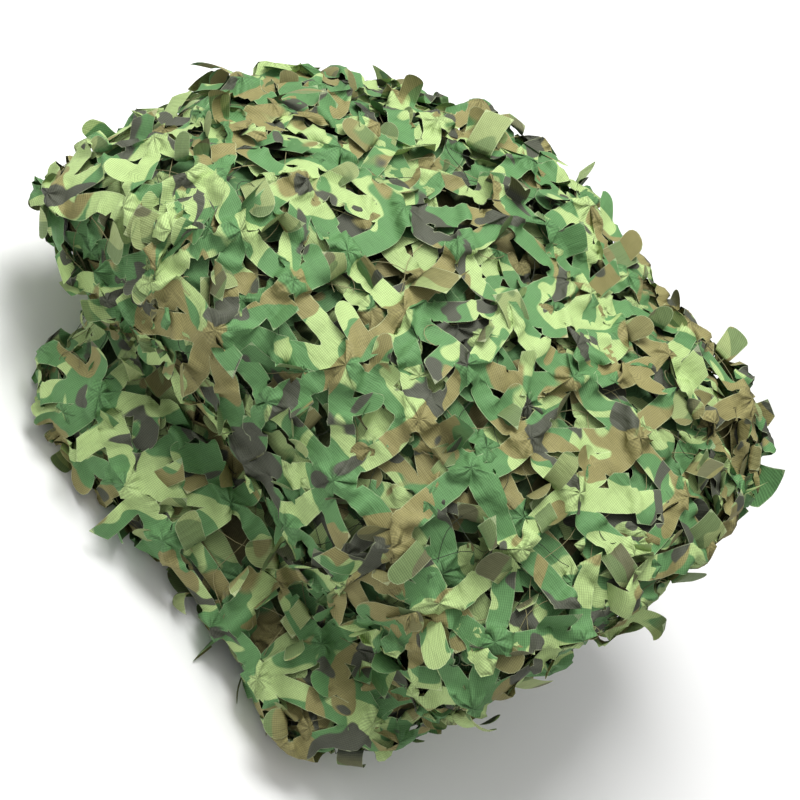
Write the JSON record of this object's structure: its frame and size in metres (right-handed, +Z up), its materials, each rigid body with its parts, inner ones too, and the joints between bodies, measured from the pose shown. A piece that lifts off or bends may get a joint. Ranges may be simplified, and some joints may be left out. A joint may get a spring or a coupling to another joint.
{
  "type": "folded camouflage net",
  "caption": "Folded bundle of die-cut camouflage netting in woodland colours, with a thick turned fold above a low one, leafy all round.",
  "frame": {"origin": "on the floor below the middle of the bundle's box", "axes": "+X along the folds, +Y to the back, away from the open side of the low fold, +Z up"},
  "size_m": [0.7366, 0.582, 0.4366],
  "materials": {
    "garnish_cloth": "matt printed polyester cloth"
  },
  "bodies": {
    "root": {"folded_net": "garnish_cloth"}
  },
  "joints": []
}
